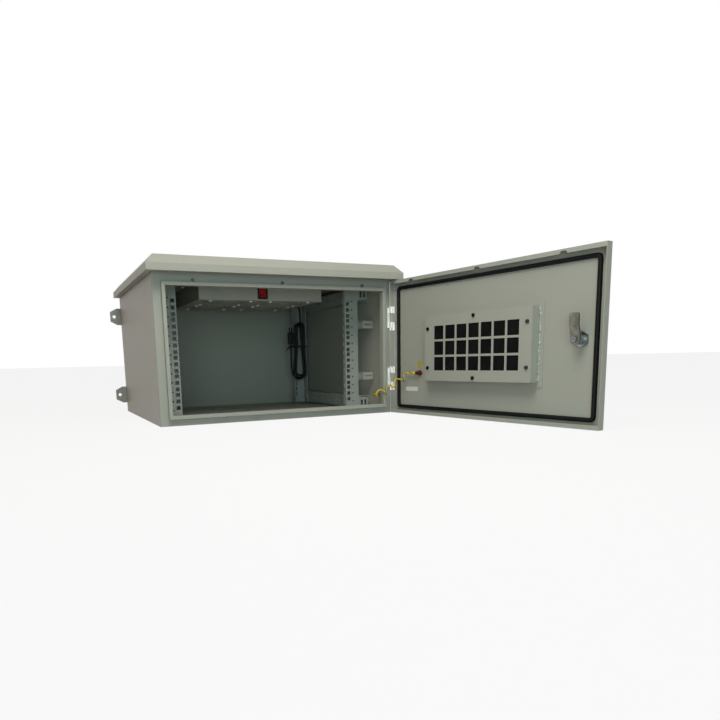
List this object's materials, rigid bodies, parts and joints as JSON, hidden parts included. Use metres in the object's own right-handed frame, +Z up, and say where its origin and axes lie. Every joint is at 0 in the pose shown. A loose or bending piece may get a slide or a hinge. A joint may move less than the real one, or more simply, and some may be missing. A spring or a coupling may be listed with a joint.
{
  "type": "wall-mounted outdoor equipment cabinet",
  "caption": "Wall-mounted sheet-steel outdoor cabinet for 19-inch rack equipment, with rain roof, fan tray under the ceiling and a gasketed, filtered door standing open.",
  "frame": {"origin": "centre of the cabinet's underside, on the floor sheet's lower face", "axes": "+X to the right seen from the front, +Y from the door opening to the wall, +Z up"},
  "size_m": [0.7189, 1.1598, 0.3695],
  "materials": {
    "paint": "fine powder coat",
    "rail_paint": "satin",
    "zinc": "zinc plated",
    "fan_black": "moulded",
    "gasket": "foamed",
    "foam": "open foam",
    "switch_black": "moulded",
    "rocker_red": "translucent red",
    "cord": "smooth",
    "tie": "nylon",
    "earth_metal": "copper plated",
    "earth_insulation": "yellow with a green stripe"
  },
  "bodies": {
    "cabinet": {"right_side_panel": "paint", "left_side_panel": "paint", "rear_panel": "paint", "floor_panel": "paint", "ceiling_panel": "paint", "door_seal_frame": "paint", "roof_cover": "paint", "wall_lugs": "paint", "lacing_brackets_right": "paint", "lacing_brackets_left": "paint", "fan_tray": "paint", "front_rail_right": "rail_paint", "front_rail_left": "rail_paint", "rear_rail_right": "rail_paint", "rear_rail_left": "rail_paint", "depth_rail_lower_right": "rail_paint", "depth_rail_lower_left": "rail_paint", "depth_rail_upper_right": "rail_paint", "depth_rail_upper_left": "rail_paint", "frame_screws": "zinc", "roof_spacers": "zinc", "roof_bolts": "zinc", "lug_bolts": "zinc", "rail_bolts": "zinc", "rail_nuts": "zinc", "tray_screws": "zinc", "fan_screws": "zinc", "hinge_brackets": "zinc", "hinge_pins": "zinc", "body_earth_stud": "zinc", "fan_frame_1": "fan_black", "fan_frame_2": "fan_black", "fan_frame_3": "fan_black", "fan_frame_4": "fan_black", "switch_housing": "switch_black", "cord_grommet": "cord", "cord_lead": "cord", "cord_hank": "cord", "cord_plug": "cord", "cord_tie": "tie", "earth_wire": "earth_insulation"},
    "door": {"door_panel": "paint", "door_gasket": "gasket", "filter_housing": "paint", "filter_grille": "paint", "filter_foam": "foam", "filter_screws": "zinc", "lock_housing": "zinc", "lock_nut": "zinc", "door_earth_stud": "earth_metal", "hinge_leaves": "paint"},
    "lock": {"lock_rotor": "zinc", "lock_cam": "zinc"},
    "rocker": {"switch_rocker": "rocker_red"},
    "fan_1": {"fan_rotor_1": "fan_black"},
    "fan_2": {"fan_rotor_2": "fan_black"},
    "fan_3": {"fan_rotor_3": "fan_black"},
    "fan_4": {"fan_rotor_4": "fan_black"}
  },
  "joints": [
    {"name": "door_hinge", "type": "hinge", "parent": "cabinet", "child": "door", "pos_m": [0.2964, -0.29, 0.16675], "axis": [0, 0, 1], "range_deg": [-98.4, 21.6], "deforming": ["earth_wire"]},
    {"name": "lock_turn", "type": "hinge", "parent": "door", "child": "lock", "pos_m": [0.37534, -0.8246, 0.16675], "axis": [0.9893, 0.1461, 0], "range_deg": [0, 90]},
    {"name": "rocker_tilt", "type": "hinge", "parent": "cabinet", "child": "rocker", "pos_m": [0, -0.1485, 0.3115], "axis": [1, 0, 0], "range_deg": [0, 16]},
    {"name": "fan_1_spin", "type": "hinge", "parent": "cabinet", "child": "fan_1", "pos_m": [-0.0795, -0.0803, 0.3124], "axis": [0, 0, 1], "continuous": true},
    {"name": "fan_2_spin", "type": "hinge", "parent": "cabinet", "child": "fan_2", "pos_m": [0.0795, -0.0803, 0.3124], "axis": [0, 0, 1], "continuous": true},
    {"name": "fan_3_spin", "type": "hinge", "parent": "cabinet", "child": "fan_3", "pos_m": [-0.0795, 0.0677, 0.3124], "axis": [0, 0, 1], "continuous": true},
    {"name": "fan_4_spin", "type": "hinge", "parent": "cabinet", "child": "fan_4", "pos_m": [0.0795, 0.0677, 0.3124], "axis": [0, 0, 1], "continuous": true}
  ]
}
